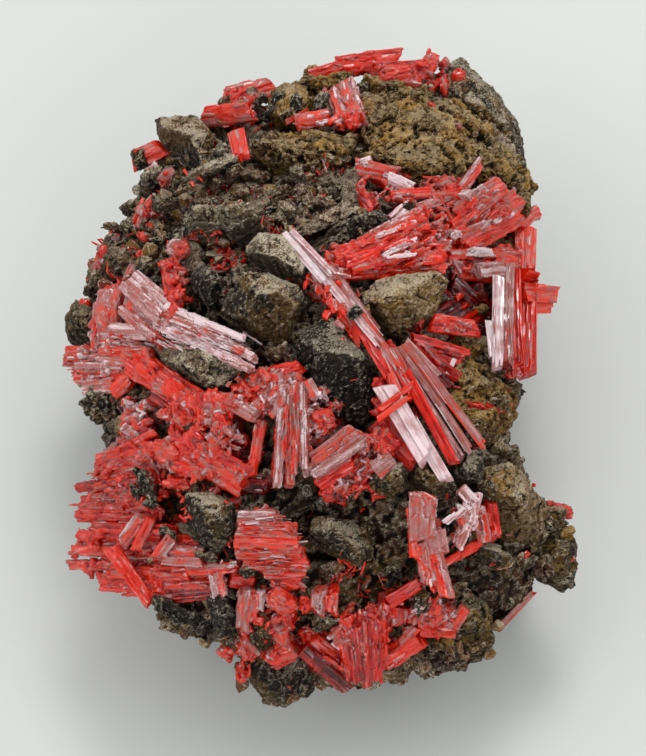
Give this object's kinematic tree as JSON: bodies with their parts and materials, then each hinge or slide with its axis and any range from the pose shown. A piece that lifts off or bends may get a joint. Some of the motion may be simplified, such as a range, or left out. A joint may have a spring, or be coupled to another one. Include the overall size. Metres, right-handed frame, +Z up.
{
  "type": "crocoite on matrix",
  "caption": "Brown-black gossan lump studded with angular ironstone and ochre limonite fragments, covered in sprays and laths of glassy red-orange crocoite crystals.",
  "frame": {"origin": "centre of the specimen's plan box, on the flat broken base that it rests on", "axes": "+Z up out of the base; +Y away from the viewer along the specimen's length, towards its ochre end; +X to the viewer's right across its width"},
  "size_m": [0.0881, 0.1162, 0.0574],
  "materials": {
    "gossan": "rough, dull, porous brown-black ironstone groundmass with ochre and grey dust",
    "ironstone": "rough dark grey-brown rock, its upper facets speckled light grey",
    "limonite": "earthy ochre-brown, granular, with dark pits and pale dust",
    "crocoite_red": "translucent red, striated lengthwise, glassy to resinous",
    "crocoite_pink": "pinkish, fibrous, with pale silky glare along the striations",
    "crocoite_orange": "bright orange-red, striated, glassy to resinous"
  },
  "bodies": {
    "root": {"clast_peak_block": "ironstone", "clast_centre_block": "ironstone", "clast_upper_slab": "ironstone", "clast_left_shoulder": "ironstone", "clast_top_left_block": "ironstone", "clast_roof_ridge": "ironstone", "clast_outer_left_nub": "ironstone", "clast_slope_slab_upper": "gossan", "clast_slope_slab_lower": "gossan", "clast_ridge_left": "ironstone", "clast_ridge_right": "ironstone", "clast_left_edge_limonite": "limonite", "clast_speckled_slab": "ironstone", "clast_limonite_right_centre": "limonite", "clast_ochre_mass": "limonite", "clast_back_right_crust": "ironstone", "clast_ochre_ridge": "limonite", "clast_back_gold_block": "limonite", "clast_black_nodules": "ironstone", "clast_lower_centre_block": "ironstone", "clast_lower_left_block": "ironstone", "clast_right_dark_block": "ironstone", "clast_right_tan_block": "limonite", "clast_small_dark_block": "ironstone", "clast_right_edge_knob": "limonite", "clast_lower_limonite_block": "limonite", "clast_bottom_block": "ironstone", "clast_grey_sliver": "ironstone", "clast_mid_shard_left": "ironstone", "clast_mid_shard_right": "ironstone", "clast_right_ochre_lumps": "limonite", "crocoite_long_lath_bundle": "crocoite_pink", "crocoite_centre_right_fan": "crocoite_pink", "crocoite_thick_bundle": "crocoite_red", "crocoite_right_columns": "crocoite_red", "crocoite_vug_wall": "crocoite_red", "crocoite_back_edge_laths": "crocoite_red", "crocoite_back_left_plates": "crocoite_red", "crocoite_back_chunk": "crocoite_pink", "crocoite_pale_lath": "crocoite_pink", "crocoite_small_left_slab": "crocoite_pink", "crocoite_smooth_slab": "crocoite_pink", "crocoite_fibrous_sweep": "crocoite_pink", "crocoite_red_column": "crocoite_red", "crocoite_left_blades": "crocoite_pink", "crocoite_red_band": "crocoite_orange", "crocoite_faceted_chunk": "crocoite_red", "crocoite_left_spray": "crocoite_red", "crocoite_left_lower_prisms": "crocoite_red", "crocoite_centre_column": "crocoite_red", "crocoite_diagonal_bundle": "crocoite_red", "crocoite_fibrous_slab": "crocoite_orange", "crocoite_lower_left_blocks": "crocoite_red", "crocoite_bottom_fan": "crocoite_red", "crocoite_brown_plate": "crocoite_pink", "crocoite_right_druse": "crocoite_pink", "crocoite_lower_wedge": "crocoite_red", "crocoite_right_edge_cap": "crocoite_red", "matrix_groundmass": "gossan"}
  },
  "joints": []
}
